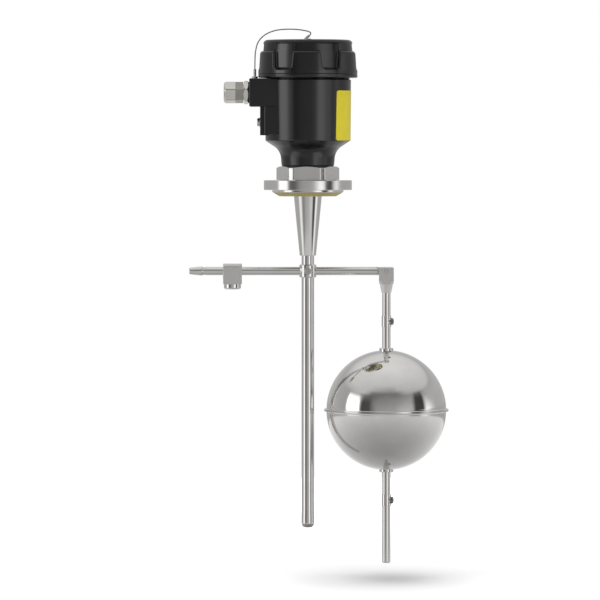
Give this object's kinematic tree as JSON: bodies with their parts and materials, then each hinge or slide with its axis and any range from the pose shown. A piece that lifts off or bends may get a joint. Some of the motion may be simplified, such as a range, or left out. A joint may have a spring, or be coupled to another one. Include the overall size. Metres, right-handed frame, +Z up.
{
  "type": "level switch",
  "caption": "Tank-top level switch: housing with screw lid and cable gland, round process flange, immersion tube, rocking lever with counterweight, and a ball float on a hanging rod.",
  "frame": {"origin": "centre of the flange's seating face, at the top of the spigot", "axes": "+Z up through the housing, +X from the immersion tube towards the float, camera side -Y"},
  "size_m": [0.2479, 0.1188, 0.5106],
  "materials": {
    "black_coating": "satin black coating",
    "polished_steel": "polished stainless",
    "satin_steel": "fine ground stainless",
    "plated_brass": "nickel plated",
    "screw_steel": "plain",
    "black_rubber": "matt",
    "ochre_seal": "matt",
    "yellow_foil": "satin foil",
    "grey_moulding": "moulded",
    "capsule_glass": "clear",
    "copper_lead": "tinned copper",
    "magnet": "dull"
  },
  "bodies": {
    "housing": {"housing_shell": "black_coating", "entry_block": "black_coating", "side_pad": "black_coating", "terminal_posts": "black_coating", "type_label": "yellow_foil", "lid_seal": "black_rubber", "neck_gasket": "black_rubber", "terminal_base": "grey_moulding", "terminal_block": "grey_moulding", "terminal_screws": "screw_steel", "terminal_base_screws": "screw_steel", "inner_earth_screw": "screw_steel", "outer_earth_screw": "screw_steel", "earth_washer": "screw_steel", "process_fitting": "polished_steel", "flange_seal": "ochre_seal", "taper_sleeve": "polished_steel", "immersion_tube": "polished_steel", "tube_end_plug": "polished_steel", "pivot_bush": "polished_steel", "contact_carrier": "grey_moulding", "reed_capsule": "capsule_glass", "contact_leads": "copper_lead", "gland_body": "plated_brass", "gland_washer": "black_rubber", "tether_anchor": "screw_steel", "tether_wire": "screw_steel"},
    "tether_swivel": {"tether_swivel": "screw_steel", "tether_ferrule": "screw_steel"},
    "lid": {"lid": "black_coating"},
    "gland_insert": {"gland_claw": "grey_moulding", "gland_seal": "black_rubber"},
    "gland_nut": {"gland_nut": "plated_brass"},
    "lever": {"rocker_hub": "polished_steel", "pivot_pin": "polished_steel", "right_arm": "polished_steel", "switching_magnet": "magnet", "left_arm": "polished_steel", "arm_tip": "polished_steel"},
    "float_rod": {"fork_head": "satin_steel", "fork_pin": "polished_steel", "float_rod": "polished_steel"},
    "float": {"float_upper_shell": "polished_steel", "float_lower_shell": "satin_steel", "float_sleeve": "polished_steel", "float_top_collar": "polished_steel", "float_bottom_collar": "polished_steel"},
    "upper_stop": {"upper_stop_collar": "polished_steel", "upper_stop_screw": "screw_steel"},
    "lower_stop": {"lower_stop_collar": "polished_steel", "lower_stop_screw": "screw_steel"},
    "counterweight": {"counterweight_block": "satin_steel", "clamp_screw": "satin_steel"}
  },
  "joints": [
    {"name": "lid_lift", "type": "slide", "parent": "housing", "child": "tether_swivel", "axis": [0, 0, 1], "range_m": [0, 0.008], "deforming": ["tether_wire"]},
    {"name": "lid_turn", "type": "hinge", "parent": "tether_swivel", "child": "lid", "pos_m": [0, 0, 0.125], "axis": [0, 0, 1], "range_deg": [0, 1440]},
    {"name": "nut_travel", "type": "slide", "parent": "housing", "child": "gland_insert", "axis": [-1, 0, 0], "range_m": [0, 0.0045]},
    {"name": "nut_turn", "type": "hinge", "parent": "gland_insert", "child": "gland_nut", "pos_m": [-0.07, 0, 0.093], "axis": [-1, 0, 0], "range_deg": [0, 1080]},
    {"name": "lever_tilt", "type": "hinge", "parent": "housing", "child": "lever", "pos_m": [0, 0, -0.0774], "axis": [0, -1, 0], "range_deg": [0, 6]},
    {"name": "rod_swing", "type": "hinge", "parent": "lever", "child": "float_rod", "pos_m": [0.075, 0, -0.0774], "axis": [0, -1, 0], "range_deg": [-3.2, 6]},
    {"name": "float_slide", "type": "slide", "parent": "float_rod", "child": "float", "axis": [0, 0, 1], "range_m": [-0.021, 0.0195]},
    {"name": "upper_stop_slide", "type": "slide", "parent": "float_rod", "child": "upper_stop", "axis": [0, 0, 1], "range_m": [0, 0.021]},
    {"name": "lower_stop_slide", "type": "slide", "parent": "float_rod", "child": "lower_stop", "axis": [0, 0, 1], "range_m": [-0.05, 0]},
    {"name": "counterweight_slide", "type": "slide", "parent": "lever", "child": "counterweight", "axis": [1, 0, 0], "range_m": [-0.016, 0.053]}
  ],
  "couplings": [
    {"joint": "lid_lift", "follows": "lid_turn", "m_per_rad": 0.00031831},
    {"joint": "nut_travel", "follows": "nut_turn", "m_per_rad": 0.00023873}
  ]
}
